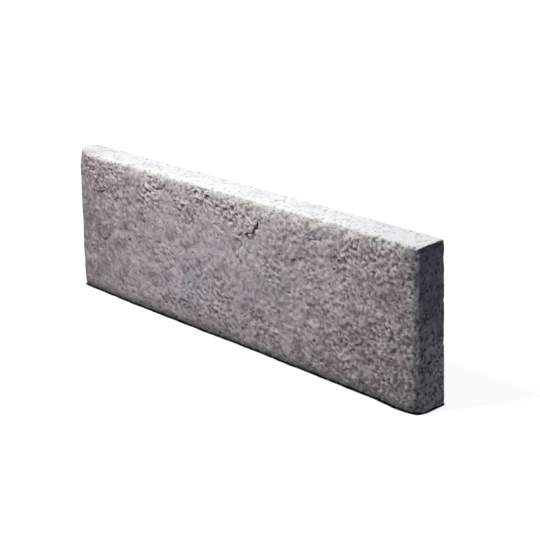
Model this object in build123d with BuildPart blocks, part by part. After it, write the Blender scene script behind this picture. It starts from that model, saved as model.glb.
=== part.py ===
# A manufactured stone lintel: one block of cast concrete, shaped like a long thin slab
# that stands on its edge over a door or window. The back, top, soffit and ends are flat.
# The front is a rock face: it swells and dips by a few millimetres and falls away along
# its margins, most of all at the top of the left end. Its top and side arrises are worn
# round, and the arris of the soffit is as sharp as it was cast.
#
# Millimetres. The origin is the centre of the soffit. +X runs along the length to the
# viewer's right, +Y goes into the wall, +Z is up, and the rock face looks along -Y.

from build123d import *

import os
from math import exp

# The block
length = 610.0
height = 187.0
thickness = 45.0

# Rounding of the arrises at the top and the sides of the rock face
worn_arris = 7.0

# The margins, where the rock face falls away before the arris, and how far it falls.
# At the left end it falls further at the top than at the soffit.
top_margin = 30.0
top_fall = 2.0
soffit_margin = 26.0
soffit_fall = 2.0
left_margin = 42.0
left_top_fall = 14.0
left_soffit_fall = 1.5
right_margin = 30.0
right_fall = 1.2

# Broad swells and dips of the rock face, each as its place from the left end, its place
# above the soffit, its spread along the length, its spread in height and its rise
swells = [
    (95.0, 120.0, 62.0, 44.0, 1.6),
    (165.0, 52.0, 70.0, 40.0, 1.2),
    (238.0, 132.0, 55.0, 36.0, -1.1),
    (318.0, 88.0, 64.0, 46.0, 1.9),
    (392.0, 150.0, 48.0, 30.0, 1.0),
    (460.0, 136.0, 48.0, 40.0, -1.9),
    (520.0, 64.0, 60.0, 42.0, 1.3),
    (40.0, 40.0, 48.0, 40.0, -1.0),
    (352.0, 24.0, 60.0, 26.0, -1.0),
    (590.0, 4.0, 42.0, 40.0, 3.2),
]

# The net of points that carries the rock face, which runs past the block on every side,
# and the finer net on which its proudest point is looked for
net_pitch = 15.0
net_overhang = 30.0
scan_pitch = 3.0

# Spare stone left in front of the block for the rock face to be cut out of
dressing = 2.0


def margin_drop(distance, margin, fall):
    """How far the face has fallen at this distance from an edge."""
    share = max(0.0, 1.0 - distance / margin)
    return fall * share**2


def rise(along, up):
    """How far the face stands out at a place, before it is set to the front plane."""
    left_fall = left_soffit_fall + (left_top_fall - left_soffit_fall) * up / height
    swell = sum(
        amount * exp(-(((along - x) / spread_x) ** 2) - ((up - z) / spread_z) ** 2)
        for x, z, spread_x, spread_z, amount in swells
    )
    fallen = (
        margin_drop(along, left_margin, left_fall)
        + margin_drop(length - along, right_margin, right_fall)
        + margin_drop(height - up, top_margin, top_fall)
        + margin_drop(up, soffit_margin, soffit_fall)
    )
    return swell - fallen


def spread(size, pitch):
    """Even places along a side of a net, which overhangs the block at both ends."""
    count = round((size + 2 * net_overhang) / pitch)
    return [
        -net_overhang + (size + 2 * net_overhang) * step / count
        for step in range(count + 1)
    ]


# The rock face as one spline sheet, with its proudest point in the front plane
stations = spread(length, net_pitch)
courses = spread(height, net_pitch)
proudest = max(
    rise(along, up)
    for along in spread(length, scan_pitch)
    for up in spread(height, scan_pitch)
)
rock_face = Face.make_surface_from_array_of_points(
    [
        [
            (along - length / 2, proudest - rise(along, up) - thickness / 2, up)
            for up in courses
        ]
        for along in stations
    ],
    tol=0.02,
    min_deg=3,
    max_deg=3,
)

with BuildPart() as lintel:
    with BuildSketch(Plane.XZ.offset(-thickness / 2)) as back:
        Rectangle(length, height, align=(Align.CENTER, Align.MIN))
    extrude(amount=thickness + dressing)
    extrude(rock_face, amount=thickness, dir=(0, -1, 0), mode=Mode.SUBTRACT)
    front = lintel.faces().filter_by(GeomType.BSPLINE)[0]
    fillet(front.edges().sort_by(Axis.Z)[1:], radius=worn_arris)

lintel.part.label = "lintel"

os.makedirs("parts", exist_ok=True)
export_step(lintel.part, "parts/lintel.step")
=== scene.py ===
# A manufactured stone lintel, dressed for its portrait. The block itself comes from the
# frame. This script gives it the relief and the colours of cast stone: a mauve-grey rock
# face with ledges, chips and pits, and pale uncoloured concrete on its other sides.
#
# The relief is worked out in millimetres, and the scene is in metres, in the frame's axes:
# +X along the length, +Y into the wall, +Z up. A place on the rock face is given as someone
# in front of it would measure it: from its left end, and down from its top.

from math import pi, radians

import bpy
import numpy as np
from mathutils import Matrix, Vector
from mathutils.bvhtree import BVHTree


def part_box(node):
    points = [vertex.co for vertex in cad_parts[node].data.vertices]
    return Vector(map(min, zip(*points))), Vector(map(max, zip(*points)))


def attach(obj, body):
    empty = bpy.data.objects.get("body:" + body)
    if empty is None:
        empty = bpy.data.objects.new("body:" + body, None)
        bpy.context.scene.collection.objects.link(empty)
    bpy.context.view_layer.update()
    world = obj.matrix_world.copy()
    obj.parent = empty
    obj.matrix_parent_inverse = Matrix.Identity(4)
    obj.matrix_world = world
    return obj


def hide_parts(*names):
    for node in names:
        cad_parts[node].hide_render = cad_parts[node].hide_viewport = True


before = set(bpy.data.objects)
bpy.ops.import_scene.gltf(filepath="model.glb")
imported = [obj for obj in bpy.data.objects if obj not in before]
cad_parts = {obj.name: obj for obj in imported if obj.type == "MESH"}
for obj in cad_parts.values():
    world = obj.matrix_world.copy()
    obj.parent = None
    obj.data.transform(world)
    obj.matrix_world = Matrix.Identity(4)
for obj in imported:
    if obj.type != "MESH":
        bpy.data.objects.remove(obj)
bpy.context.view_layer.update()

MM = 0.001
low, high = (np.array(corner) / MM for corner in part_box("lintel"))
left, front, soffit = low
right, back, top = high
length = right - left

# The net of points that carries the relief, in millimetres, how often the facets of the
# casting's curved surface are evened out on it, and how many triangles it is thinned to
grid_pitch = 0.95
facet_smoothing = 12
triangle_budget = 190000

# How much of the rock face lies behind the casting's surface, in percent, and how often its
# relief is evened out to find what stands proud or lies low
lying_behind = 96
fine_smoothing = 24

# Rock face: size and height of its broad waves, lumps, crinkles, grains and terraces
broad_size, broad_height = 52.0, 0.25
lump_size, lump_height = 25.0, 0.45
crinkle_size, crinkle_height, crinkle_gain = 9.5, 0.74, 0.62
grain_size, grain_height = 5.2, 0.70
terrace_size, terrace_height = 30.0, 0.40

# Its creases, with the share of their noise that they take up
crease_size, crease_share, crease_depth = 15.0, 0.09, 0.6

# How far the forms stray from straight lines, by noise of this size, and how much their
# place is squeezed along each axis, which draws the forms out
stray_size = 9.0
form_stray, ledge_stray, pit_stray = 2.2, 1.4, 1.5
drawn_out = np.array([0.82, 1.0, 0.92])

# Strength of the fine relief in the calm left part, and where that part ends
calm_share = 0.70
calm_until, rough_from = 120.0, 400.0

# The chamfer along the foot of the rock face, and the wear of its right arris
foot_depth = 0.3
right_wear, right_reach = 2.2, 18.0

# Holes strewn over the rock face and over the cast sides: spacing and widest radius
rock_hole_spacing, rock_hole_radius = 6.5, 1.7
cast_hole_spacing, cast_hole_radius = 8.5, 1.8

# Ledges of the rock face: the points of a line, how far the stone steps down on its right
# as it is followed, or on its left where the step is negative, and how far the low ground
# reaches
ledges = [
    ([(362, 9), (367, 19), (365, 24), (362, 28), (355, 37), (344, 42), (331, 46)], -1.5, 14.0),
    ([(338, 52), (334, 60), (330, 68), (331, 75), (339, 80)], 1.2, 8.0),
    ([(46, 97), (49, 101), (55, 108), (61, 110), (68, 104), (75, 98)], 1.3, 8.0),
    ([(30, 42), (39, 44), (52, 46), (66, 43), (76, 36)], 1.1, 9.0),
    ([(78, 86), (92, 89), (104, 88)], 0.7, 8.0),
    ([(262, 10), (269, 14), (284, 18), (300, 23)], -1.0, 9.0),
    ([(284, 41), (298, 46), (309, 50)], -0.8, 7.0),
    ([(22, 22), (34, 16), (46, 20), (58, 14)], -1.0, 7.0),
    ([(70, 24), (84, 18), (97, 22), (112, 17)], -1.1, 8.0),
    ([(124, 30), (138, 24), (153, 27)], -1.0, 8.0),
    ([(160, 15), (176, 22), (190, 19), (206, 25)], -1.0, 8.0),
    ([(214, 20), (228, 27), (245, 24)], -1.0, 8.0),
    ([(524, 100), (526, 105), (530, 109), (535, 107), (540, 101), (541, 92)], 0.6, 7.0),
    ([(191, 158), (209, 155)], 0.8, 6.0),
    ([(94, 163), (117, 160)], 0.7, 6.0),
    ([(189, 90), (198, 97), (201, 104)], 0.7, 7.0),
    ([(416, 60), (428, 53), (441, 48)], 0.7, 8.0),
    ([(579, 60), (588, 68), (588, 77), (581, 87)], -0.5, 6.0),
]

# Pits of the rock face: place, radius and depth
face_pits = [
    (149, 68, 2.0, 1.6),
    (116, 99, 1.9, 1.4),
    (222, 47, 1.5, 1.2),
    (232, 53, 1.4, 1.2),
    (192, 138, 1.7, 1.4),
    (229, 147, 1.6, 1.3),
    (276, 153, 2.2, 1.5),
    (255, 97, 1.5, 1.2),
    (232, 110, 1.4, 1.1),
    (244, 111, 1.4, 1.1),
    (403, 62, 1.5, 1.1),
    (432, 96, 1.5, 1.1),
    (440, 132, 1.6, 1.2),
    (453, 144, 2.6, 1.5),
    (471, 172, 1.8, 1.2),
    (494, 41, 2.0, 1.4),
    (486, 52, 1.8, 1.3),
    (502, 29, 1.7, 1.2),
    (508, 79, 2.1, 1.4),
    (569, 156, 1.9, 1.4),
    (572, 133, 1.6, 1.2),
]

# Bug holes of the right end: distance from the front, distance from the top, radius, depth
end_holes = [
    (32, 34, 1.9, 1.8),
    (35, 146, 1.7, 1.8),
    (27, 136, 1.4, 1.4),
    (37, 162, 1.3, 1.2),
    (31, 81, 1.1, 1.0),
    (20, 19, 1.1, 1.0),
    (17, 161, 1.2, 1.0),
    (15, 63, 1.1, 1.0),
]

# Chips out of the top arris of the rock face: distance from the left, width, depth
arris_chips = [
    (114, 9, 2.0),
    (190, 6, 1.4),
    (258, 8, 1.5),
    (320, 7, 2.0),
    (382, 7, 1.6),
    (426, 5, 1.4),
    (458, 8, 2.0),
    (507, 6, 1.7),
    (561, 7, 1.5),
    (597, 6, 1.8),
]


def cells_hash(cell, seed):
    """A well mixed whole number for each cell of a lattice."""
    mixed = (
        cell[:, 0].astype(np.uint32) * np.uint32(374761393)
        + cell[:, 1].astype(np.uint32) * np.uint32(668265263)
        + cell[:, 2].astype(np.uint32) * np.uint32(2246822519)
        + np.uint32((seed * 97 + 13) * 3266489917 & 0xFFFFFFFF)
    )
    mixed = (mixed ^ (mixed >> np.uint32(13))) * np.uint32(1274126177)
    mixed = (mixed ^ (mixed >> np.uint32(15))) * np.uint32(2654435761)
    return mixed ^ (mixed >> np.uint32(16))


def shares(mixed):
    """Three numbers from 0 to 1 out of each mixed number."""
    return np.stack([(mixed >> np.uint32(10 * k)) & np.uint32(1023) for k in range(3)], 1) / 1023.0


def noise(points, size, seed):
    """Smooth noise from about -1 to 1, whose waves are about the given size."""
    q = points / size
    cell = np.floor(q).astype(np.int64)
    inside = q - cell
    eased = inside**3 * (inside * (inside * 6 - 15) + 10)
    total = np.zeros(len(points))
    for corner in np.ndindex(2, 2, 2):
        corner = np.array(corner)
        slope = shares(cells_hash(cell + corner, seed)) * 2 - 1
        reach = ((inside - corner) * slope).sum(1)
        total += np.where(corner, eased, 1 - eased).prod(1) * reach
    return total * 1.6


def fractal(points, size, seed, octaves=3, gain=0.5):
    """Noise with finer and fainter noise on it."""
    return sum(gain**k * noise(points, size / 2**k, seed + 31 * k) for k in range(octaves))


def crinkle(points, size, seed, octaves=3, gain=0.5):
    """Round lumps with sharp creases between them, and smaller ones on those."""
    return sum(
        gain**k * (np.abs(noise(points, size / 2**k, seed + 31 * k)) - 0.25) for k in range(octaves)
    )


def scattered_holes(points, spacing, widest, seed, share=1.0):
    """Depth of round holes of many sizes, strewn at about the given spacing."""
    q = points / spacing
    cell = np.floor(q).astype(np.int64)
    depth = np.zeros(len(points))
    for step in np.ndindex(3, 3, 3):
        neighbour = cell + np.array(step) - 1
        place = neighbour + shares(cells_hash(neighbour, seed))
        chance = shares(cells_hash(neighbour, seed + 7))
        away = np.sqrt(((q - place) ** 2).sum(1)) * spacing
        radius = widest * (0.35 + 0.65 * chance[:, 0] ** 2)
        hole = radius * np.sqrt(np.clip(1 - (away / radius) ** 2, 0, 1))
        depth = np.maximum(depth, np.where(chance[:, 1] < share, hole, 0))
    return depth


def ease(value, start, end):
    """0 before start, 1 after end, and smooth between them."""
    t = np.clip((value - start) / (end - start), 0, 1)
    return t * t * (3 - 2 * t)


def facing(towards):
    """1 where the surface looks one way, from its normal's share in that direction."""
    return ease(towards, 0.3, 0.8)


def block_grid(pitch):
    """The surface of the block's box as a closed net of squares."""
    count = np.maximum(np.round((high - low) / pitch).astype(int), 1)
    stride = np.array([(count[1] + 1) * (count[2] + 1), count[2] + 1, 1])
    sides = []
    for axis in range(3):
        a, b = [d for d in range(3) if d != axis]
        along, across = np.meshgrid(np.arange(count[a]), np.arange(count[b]), indexing="ij")
        for end in (0, count[axis]):
            corners = [
                end * stride[axis] + (along + i) * stride[a] + (across + j) * stride[b]
                for i, j in ((0, 0), (1, 0), (1, 1), (0, 1))
            ]
            side = np.stack([corner.ravel() for corner in corners], 1)
            outward = (end > 0) == (axis != 1)
            sides.append(side if outward else side[:, ::-1])
    used, squares = np.unique(np.concatenate(sides), return_inverse=True)
    steps = np.stack([used // stride[0], used // stride[1] % (count[1] + 1), used % stride[1]], 1)
    return low + steps / count * (high - low), squares.reshape(-1, 4)


def average_round(values, squares, passes, loose=1.0):
    """Evens out values over the net, where the points are loose."""
    a = squares.ravel()
    b = np.roll(squares, 1, axis=1).ravel()
    size = len(values)
    neighbours = np.bincount(a, minlength=size) + np.bincount(b, minlength=size)
    give = 0.5 * np.broadcast_to(loose, size)[:, None]
    for _ in range(passes):
        total = [
            np.bincount(a, column[b], size) + np.bincount(b, column[a], size)
            for column in values.T
        ]
        values = (1 - give) * values + give * (np.array(total) / neighbours).T
    return values


def net_normals(points, squares):
    """Outward direction at each point of the net."""
    outward = np.cross(
        points[squares[:, 2]] - points[squares[:, 0]],
        points[squares[:, 3]] - points[squares[:, 1]],
    )
    total = np.zeros_like(points)
    for axis in range(3):
        for corner in range(4):
            total[:, axis] += np.bincount(squares[:, corner], outward[:, axis], len(points))
    return total / np.linalg.norm(total, axis=1)[:, None]


def onto_casting(points, squares, node):
    """Brings the net in to the casting's own surface, with its facets evened out."""
    tree = BVHTree.FromPolygons(
        [vertex.co / MM for vertex in node.data.vertices],
        [tuple(polygon.vertices) for polygon in node.data.polygons],
    )
    landed = np.array([tree.find_nearest(Vector(point))[0] for point in points])
    curved = ease(np.linalg.norm(landed - points, axis=1), 0.02, 0.10)
    return average_round(landed, squares, facet_smoothing, curved)


def ledge_relief(along, down, line, step, reach):
    """A step down beside a line on the face, which fades out at the line's ends."""
    line = np.array(line, float)
    lengths = np.linalg.norm(np.diff(line, axis=0), axis=1)
    walked = np.concatenate([[0], np.cumsum(lengths)])
    nearest = np.full(len(along), 1e9)
    signed = np.zeros(len(along))
    share = np.zeros(len(along))
    for k, (start, end) in enumerate(zip(line[:-1], line[1:])):
        way = (end - start) / lengths[k]
        off_x, off_y = along - start[0], down - start[1]
        t = np.clip(off_x * way[0] + off_y * way[1], 0, lengths[k])
        away_x, away_y = off_x - t * way[0], off_y - t * way[1]
        away = np.hypot(away_x, away_y)
        closer = away < nearest
        nearest = np.where(closer, away, nearest)
        side = np.sign(way[0] * away_y - way[1] * away_x)
        signed = np.where(closer, away * side, signed)
        share = np.where(closer, (walked[k] + t) / walked[-1], share)
    signed *= np.sign(step)
    fade = np.sqrt(np.clip(np.sin(pi * share), 0, 1))
    low_side = ease(signed, -0.5, 0.9) * np.exp(-np.maximum(signed, 0) / reach)
    lip = 0.25 * (1 - ease(signed, -0.5, 0.9)) * np.exp(np.minimum(signed, 0) / 4)
    groove = 0.45 * np.exp(-((signed / 0.9) ** 2))
    return abs(step) * fade * (lip - low_side - groove)


def round_hole(away, radius, depth):
    """Depth of a round hole at a distance from its centre."""
    return depth * np.sqrt(np.clip(1 - (away / radius) ** 2, 0, 1))


def roughness(points, along, down):
    """Strength of the fine relief: less on the left and in calm patches, more at the top."""
    rough = calm_share + (1 - calm_share) * ease(along, calm_until, rough_from)
    brittle = 0.35 + 0.65 * (1 - ease(along, 250, 400))
    rough *= 1 + brittle * (1 - ease(down, 25, 60)) - 0.35 * (1 - ease(down, 4, 10))
    rough *= 0.4 + 0.6 * ease(np.minimum(along, length - along), 1, 15)
    calmest = 0.45 + 0.40 * ease(along, 250, 450)
    calmest += 0.30 * ease(down, 100, 150) * (1 - ease(along, 250, 450))
    return rough * np.clip(0.85 + 0.9 * noise(points, 38.0, 20), calmest, 1.35)


def face_relief(points):
    """How far the rock face stands out from the casting, and how deep its pits are."""
    along = points[:, 0] - left
    down = top - points[:, 2]
    warp = np.stack([fractal(points, stray_size, seed, 2) for seed in (1, 2, 4)], 1)
    strewn = (points + form_stray * warp) * drawn_out
    relief = broad_height * fractal(points, broad_size, 3, 2)
    relief += lump_height * fractal(strewn, lump_size, 5, 2)
    rough = roughness(points, along, down)
    level = 2.4 * fractal(strewn, terrace_size, 19, 2)
    relief += terrace_height * (np.floor(level) + ease(level - np.floor(level), 0.36, 0.64))
    relief += rough * crinkle_height * crinkle(strewn, crinkle_size, 7, 3, crinkle_gain)
    relief += rough**1.5 * grain_height * fractal(points * drawn_out, grain_size, 28, 2, 0.5)
    crease = 1 - ease(np.abs(noise(strewn, crease_size, 9)), 0.0, crease_share)
    relief -= crease_depth * rough * crease * ease(noise(points, 19.0, 10), 0.10, 0.45)
    broken = np.clip(0.85 + 0.9 * noise(points, 5.5, 12), 0.5, 1.3)
    ledge_along, ledge_down = along + ledge_stray * warp[:, 0], down + ledge_stray * warp[:, 1]
    for line, step, reach in ledges:
        relief += broken * ledge_relief(ledge_along, ledge_down, line, step, reach)
    strayed = points + pit_stray * warp
    pits = scattered_holes(strayed, rock_hole_spacing, rock_hole_radius, 11, 0.6)
    pit_along, pit_down = along + pit_stray * warp[:, 0], down + pit_stray * warp[:, 1]
    for place_along, place_down, radius, depth in face_pits:
        away = np.hypot(pit_along - place_along, pit_down - place_down)
        pits = np.maximum(pits, round_hole(away, radius, depth))
    return relief, pits


def cast_relief(points, normals):
    """The same for the flat sides: nearly smooth concrete with bug holes."""
    relief = 0.10 * fractal(points, 24.0, 13, 3) + 0.05 * fractal(points, 4.0, 14, 2)
    relief += 0.30 * crinkle(points, 7.0, 16, 3, 0.6)
    holes = scattered_holes(points, cast_hole_spacing, cast_hole_radius, 15, 0.5)
    on_right = normals[:, 0] > 0.7
    for from_front, down, radius, depth in end_holes:
        away = np.hypot(points[:, 1] - front - from_front, top - points[:, 2] - down)
        holes = np.maximum(holes, np.where(on_right, round_hole(away, radius, depth), 0))
    on_back = ease(normals[:, 1], 0.5, 0.9)
    dragged = points * np.array([0.25, 1.0, 1.0])
    relief += on_back * (0.12 * fractal(dragged, 5.0, 17, 2) + 0.16 * fractal(points, 7.0, 18, 3))
    return relief, holes


def worn_edges(points):
    """How far the sharp edges behind the rock face are worn back."""
    to_sides = np.stack(
        [
            back - points[:, 1],
            top - points[:, 2],
            points[:, 2] - soffit,
            points[:, 0] - left,
            right - points[:, 0],
        ],
        1,
    )
    from_edge = np.sort(to_sides, axis=1)[:, 1]
    reach = 1.2 + 2.2 * np.clip(fractal(points, 9.0, 21, 3), 0, 1)
    at_end = 1 - ease(right - points[:, 0] + top - points[:, 2], 2, 9)
    reach = reach + 3.5 * at_end * np.clip(0.35 + fractal(points, 5.0, 22, 2), 0, 1)
    return 0.55 * reach * np.clip(1 - from_edge / reach, 0, 1) ** 1.5


def chipped_arris(points):
    """Unevenness of the rock face's top arris, its chips, and wear of its right arris."""
    along = points[:, 0] - left
    from_arris = np.hypot(points[:, 1] - front - 3.0, top - 3.0 - points[:, 2])
    worn = 1.1 * np.clip(0.3 + fractal(points, 12.0, 23, 3, 0.7), 0, 1.3)
    worn *= 1 - ease(from_arris, 2, 11)
    for place, width, depth in arris_chips:
        away = np.hypot((along - place) / width, from_arris / 8.0)
        worn = worn + depth * (1 - ease(away, 0.2, 1.0))
    from_corner = right - points[:, 0] + np.maximum(points[:, 1] - front - 2.5, 0)
    share = np.clip(1 - from_corner / (right_reach + 4 * noise(points, 16.0, 24)), 0, 1)
    return worn + right_wear * share**2


def block_relief(points, normals, rock):
    """How far the stone stands out from the casting on every side, and how deep its pits are.

    The other sides lie in the casting's surface or behind it, and so does the rock face but
    for its few proudest places.
    """
    relief, pits = cast_relief(points, normals)
    relief -= relief.max()
    on_rock = rock > 0
    rock_relief, rock_pits = face_relief(points[on_rock])
    rock_relief -= np.percentile(rock_relief, lying_behind)
    share = rock[on_rock]
    relief[on_rock] += share * (rock_relief - relief[on_rock])
    pits[on_rock] += share * (rock_pits - pits[on_rock])
    return relief, pits


def stone_colouring(points, normals, rock):
    """Where the stone is coloured, faded, dull, in painted shade and speckled, and how much."""
    along = points[:, 0] - left
    behind = points[:, 1] - front
    from_top = top - points[:, 2]
    from_soffit = points[:, 2] - soffit
    from_right = length - along
    upward = facing(normals[:, 2])
    backward = facing(normals[:, 1])
    leftward = facing(-normals[:, 0])
    rightward = facing(normals[:, 0])
    ragged = fractal(points, 9.0, 27, 3, 0.7)
    wide = fractal(points, 30.0, 29, 2)

    # The colour of the rock face, which fades out raggedly towards its margins
    pigment = ease(0.35 * ragged - normals[:, 1], 0.45, 0.95)
    faded = 10 * (1 - ease(along, 0, 240)) - 2.5 * ease(along, 230, 330)
    pigment *= ease(from_top + 7.0 * ragged + 9.0 * wide + faded, 1, 15)
    pigment *= 0.1 + 0.9 * ease(from_soffit + 4.0 * ragged, 2.5, 17.0)
    pigment *= 0.10 + 0.90 * ease(from_right + 9.0 * ragged, 0, 17)

    # Bare concrete that is duller, or darker by painted shade: most on the right end and the
    # soffit, least on the top
    dull_and_shade = (1 - upward) * (0.90 + 0.2 * ragged) * (1 - 0.70 * backward - 0.50 * leftward)
    # Painted light from below: the right end lighter towards its foot
    dull_and_shade -= rightward * 0.60 * ease(from_top, 60, 130)
    dull_and_shade += upward * (0.05 * (1 - ease(along, 60, 260)) + 0.12 * ease(along, 440, 550))
    dull_and_shade += upward * 0.35 * (1 - ease(along + 10 * ragged, 20, 70)) * (1 - ease(behind, 10, 28))
    # Less painted shade on the rounded right arris
    dull_and_shade -= 0.38 * ease(normals[:, 0], 0.25, 0.55) * (1 - ease(normals[:, 0], 0.80, 0.97))

    # The warm grey rim of the face, where its colour has faded out
    rim = ease(0.3 * ragged - normals[:, 1], 0.20 + 0.05 * ease(along, 230, 330), 0.7)
    rim *= ease(from_right, 4, 20) * (0.3 + 0.7 * ease(along, 30, 150))

    # Painted shade along the foot of the face and on its right arris
    arris_shade = ease(24 + 8 * ragged - from_right, 0, 14) * (1 - ease(behind, 5, 14))
    arris_shade *= ease(from_top, 3, 12) * (1 - 0.9 * rightward)
    edge_shade = rock * (1 - rightward) * (1 - ease(from_soffit, 4, 18))
    edge_shade = np.maximum(edge_shade, 0.80 * arris_shade)

    # Painted shade in the dents of the broken upper edge of the right end
    dent_shade = rightward * (1 - ease(from_top + 3 * ragged, 3.5, 9.0))
    dent_shade *= ease(fractal(points, 6.0, 33, 2), -0.40, -0.10)

    # Black grit in the ends, the right part of the face and, thinly, the back
    speckled = np.maximum(arris_shade, rightward * (0.75 + 0.5 * ease(from_top, 60, 130)))
    speckled = np.maximum(speckled, 0.7 * rock * ease(along, 440, 590))
    speckled = np.maximum(speckled, 0.6 * leftward) + 0.15 * backward
    return pigment, rim, np.clip(dull_and_shade, 0, 1), edge_shade, dent_shade, speckled


def dress_block():
    """The lintel's own mesh, made from its casting, and the values that colour it."""
    points, squares = block_grid(grid_pitch)
    points = onto_casting(points, squares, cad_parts["lintel"])
    normals = net_normals(points, squares)
    behind = points[:, 1] - front
    rock = ease(-normals[:, 1], 0.15, 0.75)
    rock = np.maximum(rock, facing(normals[:, 0]) * (1 - ease(behind, 8, 20)))
    relief, pits = block_relief(points, normals, rock)
    foot = (1 - ease(behind, 6, 12)) * (1 - ease(points[:, 2] - soffit, 0.8, 2.4))
    wear = worn_edges(points) * (1 - rock) + chipped_arris(points) + foot_depth * foot
    moved = points + normals * (relief - pits - wear)[:, None]
    moved = np.clip(moved, low, high)

    pigment, rim, dull_and_shade, edge_shade, dent_shade, speckled = stone_colouring(points, normals, rock)
    values = {
        "pigment": pigment,
        # The depth of pits and dents, which sets their painted shade
        "pit_shade": np.clip(pits, 0, 2) + 1.5 * dent_shade,
        "fine": relief - average_round(relief[:, None], squares, fine_smoothing)[:, 0],
        "rim": rim,
        "dull_and_shade": dull_and_shade,
        "edge_shade": edge_shade,
        "foot": foot,
        "speckled": speckled,
    }
    return moved * MM, squares, values


def add_mesh(name, points, squares, values):
    """A mesh with named values at its points."""
    mesh = bpy.data.meshes.new(name)
    mesh.vertices.add(len(points))
    mesh.vertices.foreach_set("co", points.astype(np.float32).ravel())
    mesh.loops.add(squares.size)
    mesh.loops.foreach_set("vertex_index", squares.astype(np.int32).ravel())
    mesh.polygons.add(len(squares))
    mesh.polygons.foreach_set("loop_start", np.arange(0, squares.size, 4, dtype=np.int32))
    mesh.update(calc_edges=True)
    for value_name, value in values.items():
        attribute = mesh.attributes.new(value_name, "FLOAT", "POINT")
        attribute.data.foreach_set("value", value.astype(np.float32))
    piece = bpy.data.objects.new(name, mesh)
    bpy.context.scene.collection.objects.link(piece)
    return piece


def thin_out(piece, budget):
    """Takes away the triangles that show least, and keeps the rest in the casting's box."""
    thinner = piece.modifiers.new("thinner", "DECIMATE")
    thinner.ratio = budget / (2 * len(piece.data.polygons))
    thinner.use_collapse_triangulate = True
    ready = piece.evaluated_get(bpy.context.evaluated_depsgraph_get())
    thinned = bpy.data.meshes.new_from_object(ready)
    places = np.empty(3 * len(thinned.vertices), np.float32)
    thinned.vertices.foreach_get("co", places)
    places = np.clip(places.reshape(-1, 3), low * MM, high * MM)
    thinned.vertices.foreach_set("co", places.astype(np.float32).ravel())
    piece.modifiers.clear()
    piece.data = thinned
    thinned.polygons.foreach_set("use_smooth", np.ones(len(thinned.polygons), bool))


class Nodes:
    """Builds a material's nodes, each from its settings and what goes into it."""

    def __init__(self, tree):
        self.tree = tree
        tree.nodes.clear()

    def feed(self, socket, value):
        """Links a socket to what comes out of another node, or sets it to a constant."""
        if isinstance(value, bpy.types.NodeSocket):
            self.tree.links.new(value, socket)
        else:
            socket.default_value = value

    def add(self, kind, inputs=None, output=0, **settings):
        node = self.tree.nodes.new(kind)
        for key, value in settings.items():
            setattr(node, key, value)
        for key, value in (inputs or {}).items():
            self.feed(node.inputs[key], value)
        return node.outputs[output] if node.outputs else None

    def math(self, operation, first, second):
        return self.add("ShaderNodeMath", {0: first, 1: second}, operation=operation)

    def vector(self, operation, first, second):
        return self.add("ShaderNodeVectorMath", {0: first, 1: second}, operation=operation)

    def distance(self, place):
        """How far a place is from the origin."""
        return self.add("ShaderNodeVectorMath", {0: place}, output=1, operation="LENGTH")

    def span(self, value, start, end, low_value=0.0, high_value=1.0):
        """Takes start to low_value and end to high_value, smoothly and no further."""
        inputs = {0: value, 1: start, 2: end, 3: low_value, 4: high_value}
        return self.add("ShaderNodeMapRange", inputs, interpolation_type="SMOOTHSTEP")

    def noise(self, place, size, detail, roughness):
        inputs = {"Vector": place, "Scale": 1 / size, "Detail": detail, "Roughness": roughness}
        return self.add("ShaderNodeTexNoise", inputs)

    def carried(self, name):
        """A named value that the mesh carries."""
        return self.add("ShaderNodeAttribute", output=2, attribute_name=name)

    def mix(self, share, first, second):
        node = self.tree.nodes.new("ShaderNodeMix")
        node.data_type = "RGBA"
        for index, value in ((0, share), (6, first), (7, second)):
            self.feed(node.inputs[index], value)
        return node.outputs[2]

    def touch(self, colour, pattern, start, end, strength, second):
        """Mixes a second colour in where a pattern goes from start to end."""
        return self.mix(self.span(pattern, start, end, 0, strength), colour, second)

    def seen(self):
        """1 for what the camera sees, also in a mirror or through glass, and 0 for light."""
        rays = self.tree.nodes.new("ShaderNodeLightPath").outputs
        mirrored = self.math("MAXIMUM", rays["Is Glossy Ray"], rays["Is Transmission Ray"])
        return self.math("MAXIMUM", rays["Is Camera Ray"], mirrored)


# Patterns in the stone's colour: the size, detail and roughness of their noise
mottle_pattern = (18.0, 4.0, 0.60)
grain_pattern = (7.0, 2.0, 0.60)
speck_pattern = (3.6, 1.0, 0.40)
drift_pattern = (60.0, 3.0, 0.55)

# Bump: the shares of grain and specks in it, its strength, and its height in millimetres
grain_share, speck_share = 0.70, 0.50
bump_strength, bump_height = 0.35, 1.0

# Colours of the stone
mauve = (0.400, 0.345, 0.370, 1)
beige = (0.450, 0.405, 0.375, 1)
slate = (0.375, 0.392, 0.412, 1)
sand = (0.540, 0.515, 0.490, 1)
plum = (0.372, 0.328, 0.385, 1)
umber = (0.200, 0.162, 0.165, 1)
# Pale flecks, and the painted highlight on raised relief
fleck_and_highlight_colour = (0.600, 0.530, 0.550, 1)
concrete = (0.606, 0.612, 0.608, 1)
# A dark bluish concrete, which is also the colour of the painted shade on the sides
dull_shaded_concrete = (0.212, 0.210, 0.282, 1)
rim_colour = (0.480, 0.466, 0.448, 1)
# Grey of the painted shade along the foot and the right arris
edge_shade_grey = (0.160, 0.162, 0.168, 1)
# Dark of the painted shade in hollows and along the foot
crevice_shade = (0.085, 0.066, 0.068, 1)
# Black of the grit, and of the painted shade in pits and dents
soot_and_pit_shade = (0.040, 0.036, 0.040, 1)
# Black of the painted shadow under the foot
foot_shadow_black = (0.012, 0.012, 0.013, 1)

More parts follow.
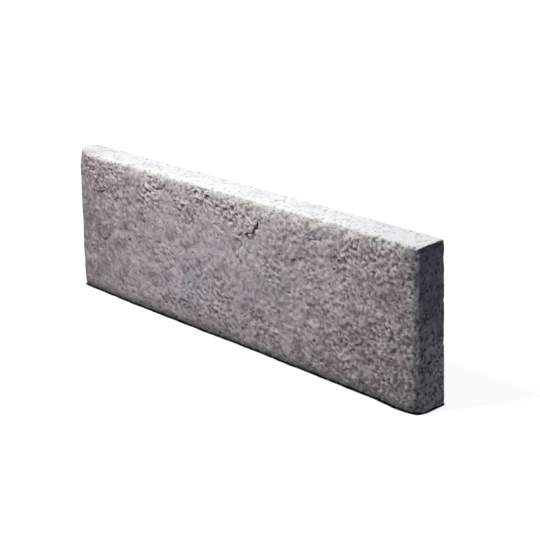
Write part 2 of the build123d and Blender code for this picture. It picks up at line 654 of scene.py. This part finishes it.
# Patches of the rock face: place, half width, half height, colour and strength
patches = [
    (238, 128, 24, 30, slate, 0.75),
    (392, 98, 28, 18, slate, 0.60),
    (340, 60, 18, 14, slate, 0.65),
    (600, 95, 110, 150, umber, 0.88),
    (490, 120, 70, 60, umber, 0.25),
    # The next two umber patches are painted shade along the foot
    (400, 190, 210, 38, umber, 0.78),
    (305, 190, 340, 30, umber, 0.55),
    (305, 2, 340, 15, beige, 0.50),
    (360, 2, 120, 22, sand, 0.60),
    (510, 2, 90, 12, sand, 0.45),
    (40, 10, 90, 40, umber, 0.60),
    (270, 125, 130, 60, plum, 0.35),
    (490, 73, 36, 26, plum, 0.40),
    (490, 46, 30, 20, umber, 0.30),
    (5, 95, 110, 170, umber, 0.70),
    (60, 128, 40, 28, plum, 0.30),
    (330, 20, 90, 22, beige, 0.45),
    (100, 24, 90, 24, umber, 0.25),
    (140, 26, 80, 22, beige, 0.30),
    (242, 34, 50, 20, beige, 0.35),
    (515, 145, 100, 55, umber, 0.60),
    # The next two patches are painted shade along the foot
    (580, 182, 62, 36, crevice_shade, 0.50),
    (160, 192, 110, 26, crevice_shade, 0.30),
    (110, 55, 60, 30, umber, 0.20),
    (430, 48, 60, 40, umber, 0.22),
]


def rock_colour(nodes, place, patterns, speckled):
    """The rock face: mauve-grey with patches, mottled by finer and finer patterns."""
    mottle, grain, speck, drift = patterns
    face = nodes.touch(mauve, drift, 0.42, 0.62, 0.30, plum)
    face = nodes.touch(face, drift, 0.48, 0.34, 0.35, umber)
    for along, down, half_width, half_height, colour, strength in patches:
        offset = nodes.vector("SUBTRACT", place, (left + along, 0, top - down))
        offset = nodes.vector("MULTIPLY", offset, (1 / half_width, 0, 1 / half_height))
        wander = nodes.span(mottle, 0.3, 0.7, -0.45, 0.45)
        ragged = nodes.math("ADD", nodes.distance(offset), wander)
        face = nodes.touch(face, ragged, 1.1, 0.3, strength, colour)
    for pattern, start, end, strength, colour in (
        (mottle, 0.49, 0.34, 0.74, umber),
        (mottle, 0.51, 0.66, 0.40, fleck_and_highlight_colour),
        (grain, 0.50, 0.38, 0.38, umber),
        (grain, 0.50, 0.62, 0.38, fleck_and_highlight_colour),
        (speck, 0.43, 0.30, 0.28, soot_and_pit_shade),
        (speck, 0.54, 0.68, 0.22, fleck_and_highlight_colour),
    ):
        face = nodes.touch(face, pattern, start, end, strength, colour)
    grit = nodes.math("MULTIPLY", speckled, nodes.span(speck, 0.46, 0.36, 0, 0.60))
    return nodes.mix(grit, face, soot_and_pit_shade)


def bare_colour(nodes, patterns, speckled):
    """The other sides: pale concrete, dull and darkened by painted shade in places, with dark
    specks.
    """
    mottle, grain, speck, _ = patterns
    # Painted shade on the sides, mixed with duller concrete
    bare = nodes.mix(nodes.carried("dull_and_shade"), concrete, dull_shaded_concrete)
    bare = nodes.mix(nodes.carried("rim"), bare, rim_colour)
    # Painted shade along the foot and the right arris
    bare = nodes.mix(nodes.carried("edge_shade"), bare, edge_shade_grey)
    for pattern, start, end, strength, colour in (
        (grain, 0.52, 0.38, 0.45, soot_and_pit_shade),
        (grain, 0.52, 0.64, 0.24, concrete),
        (speck, 0.44, 0.34, 0.70, soot_and_pit_shade),
    ):
        grit = nodes.math("MULTIPLY", speckled, nodes.span(pattern, start, end, 0, strength))
        bare = nodes.mix(grit, bare, colour)
    bare = nodes.touch(bare, speck, 0.44, 0.30, 0.40, soot_and_pit_shade)
    return nodes.touch(bare, mottle, 0.52, 0.36, 0.18, dull_shaded_concrete)


def stone_material():
    """Cast stone: coloured on the rock face, and bare concrete elsewhere."""
    material = bpy.data.materials.new("cast_stone")
    material.use_nodes = True
    nodes = Nodes(material.node_tree)
    place = nodes.add("ShaderNodeTexCoord", output=3)
    place = nodes.vector("MULTIPLY", place, (1 / MM,) * 3)
    drawn = nodes.vector("MULTIPLY", place, tuple(drawn_out))
    mottle = nodes.noise(drawn, *mottle_pattern)
    grain = nodes.noise(drawn, *grain_pattern)
    speck = nodes.noise(drawn, *speck_pattern)
    drift = nodes.noise(place, *drift_pattern)
    patterns = (mottle, grain, speck, drift)

    speckled = nodes.carried("speckled")
    face = rock_colour(nodes, place, patterns, speckled)
    bare = bare_colour(nodes, patterns, speckled)
    pigment, fine = nodes.carried("pigment"), nodes.carried("fine")
    colour = nodes.mix(pigment, bare, face)
    # Painted shade in the hollows of the relief
    colour = nodes.touch(colour, fine, 0.0, -0.55, 0.66, crevice_shade)
    # Painted highlight on the raised relief
    proud_highlight = nodes.math("MULTIPLY", pigment, nodes.span(fine, 0.02, 0.40, 0, 0.45))
    colour = nodes.mix(proud_highlight, colour, fleck_and_highlight_colour)
    # Painted shade in the pits and dents
    colour = nodes.touch(colour, nodes.carried("pit_shade"), 0.2, 1.2, 0.70, soot_and_pit_shade)
    # Painted shadow under the foot of the rock face
    colour = nodes.mix(nodes.math("MULTIPLY", nodes.carried("foot"), 0.95), colour, foot_shadow_black)

    grains = nodes.math("MULTIPLY", grain, grain_share)
    specks = nodes.math("MULTIPLY", speck, speck_share)
    bump = nodes.add(
        "ShaderNodeBump",
        {
            "Height": nodes.math("ADD", grains, specks),
            "Strength": bump_strength,
            "Distance": bump_height * MM,
        },
    )
    shader = nodes.add(
        "ShaderNodeBsdfPrincipled",
        {"Base Color": colour, "Roughness": 0.92, "Specular IOR Level": 0.15, "Normal": bump},
    )
    nodes.add("ShaderNodeOutputMaterial", {"Surface": shader})
    return material


def floor_material():
    """A pale floor that looks white, with the block's shadow, and throws little light up."""
    material = bpy.data.materials.new("floor")
    material.use_nodes = True
    nodes = Nodes(material.node_tree)
    away = nodes.distance(nodes.add("ShaderNodeTexCoord", output=3))
    # Ambient occlusion darkens the floor beside the block: a painted contact shadow
    openness = nodes.add("ShaderNodeAmbientOcclusion", {"Distance": 5.5 * MM}, output=1, samples=16)
    clear = nodes.span(openness, 0.66, 0.86)
    level = nodes.math("MULTIPLY", clear, nodes.span(away, 0.35, 1.00, 0.85, 1.0))
    glow = nodes.add("ShaderNodeEmission", {"Color": (1, 1, 1, 1), "Strength": level})
    catch = nodes.add("ShaderNodeBsdfDiffuse", {"Color": nodes.math("MULTIPLY", clear, 0.25)})
    dim = nodes.add("ShaderNodeBsdfDiffuse", {"Color": (0.14, 0.14, 0.145, 1)})
    bright = nodes.add("ShaderNodeAddShader", {0: glow, 1: catch})
    surface = nodes.add("ShaderNodeMixShader", {0: nodes.seen(), 1: dim, 2: bright})
    nodes.add("ShaderNodeOutputMaterial", {"Surface": surface})
    return material


def make_lintel():
    """The dressed block, which stands in for the casting."""
    points, squares, values = dress_block()
    piece = add_mesh("dressed_lintel", points, squares, values)
    thin_out(piece, triangle_budget)
    piece.data.materials.append(stone_material())
    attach(piece, "root")
    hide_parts("lintel")


def make_floor():
    """The floor, in metres, a hair below the soffit."""
    reach, clearance = 12.0, 0.1 * MM
    level = soffit * MM - clearance
    corners = [(-reach, -reach), (reach, -reach), (reach, reach), (-reach, reach)]
    mesh = bpy.data.meshes.new("floor")
    mesh.from_pydata([(x, y, level) for x, y in corners], [], [(0, 1, 2, 3)])
    mesh.materials.append(floor_material())
    floor = bpy.data.objects.new("floor", mesh)
    bpy.context.scene.collection.objects.link(floor)


def make_world():
    """White where it is seen, and a dim cool fill where it lights the block."""
    world = bpy.data.worlds.new("studio")
    world.use_nodes = True
    nodes = Nodes(world.node_tree)
    fill = nodes.add("ShaderNodeBackground", {"Color": (0.78, 0.87, 1.0, 1), "Strength": 0.13})
    white = nodes.add("ShaderNodeBackground", {"Color": (1, 1, 1, 1), "Strength": 1.0})
    surface = nodes.add("ShaderNodeMixShader", {0: nodes.seen(), 1: fill, 2: white})
    nodes.add("ShaderNodeOutputWorld", {"Surface": surface})
    bpy.context.scene.world = world


def make_lamp(name, place, target, size, power, colour):
    """A round lamp that faces its target. Its size is in metres and its power in watts."""
    lamp = bpy.data.lights.new(name, "AREA")
    lamp.shape = "DISK"
    lamp.size = size
    lamp.energy = power
    lamp.color = colour
    piece = bpy.data.objects.new(name, lamp)
    piece.location = place
    piece.rotation_euler = (Vector(target) - Vector(place)).to_track_quat("-Z", "Y").to_euler()
    bpy.context.scene.collection.objects.link(piece)


def make_camera():
    """The camera, where the outline in the photograph puts it.

    The photograph's width and its focal length are in pixels.
    """
    place = (1.2394, -1.0459, 0.6611)
    turn, dip, roll = radians(48.523), radians(19.564), radians(-2.439)
    photo_width, photo_focal = 540, 1442.8
    camera = bpy.data.cameras.new("camera")
    camera.sensor_width = 36.0
    camera.lens = camera.sensor_width * photo_focal / photo_width
    camera.clip_start, camera.clip_end = 0.05, 50.0
    piece = bpy.data.objects.new("camera", camera)
    aim = Matrix.Rotation(turn, 4, "Z") @ Matrix.Rotation(radians(90) - dip, 4, "X")
    aim = aim @ Matrix.Rotation(roll, 4, "Z")
    piece.matrix_world = Matrix.Translation(place) @ aim
    bpy.context.scene.collection.objects.link(piece)
    bpy.context.scene.camera = piece


make_camera()
make_lintel()
make_floor()
make_world()
make_lamp("key", (-0.16, -0.60, 1.20), (0.0, 0.0, 0.12), 0.36, 22.0, (1.0, 0.985, 0.97))
make_lamp("side_fill", (0.85, -1.00, 0.45), (0.25, 0.0, 0.09), 0.50, 0.9, (0.88, 0.94, 1.0))
make_lamp("back_fill", (0.30, 0.95, 0.75), (0.0, 0.0, 0.1), 0.50, 6.0, (0.92, 0.96, 1.0))

bpy.context.scene.view_settings.view_transform = "Standard"
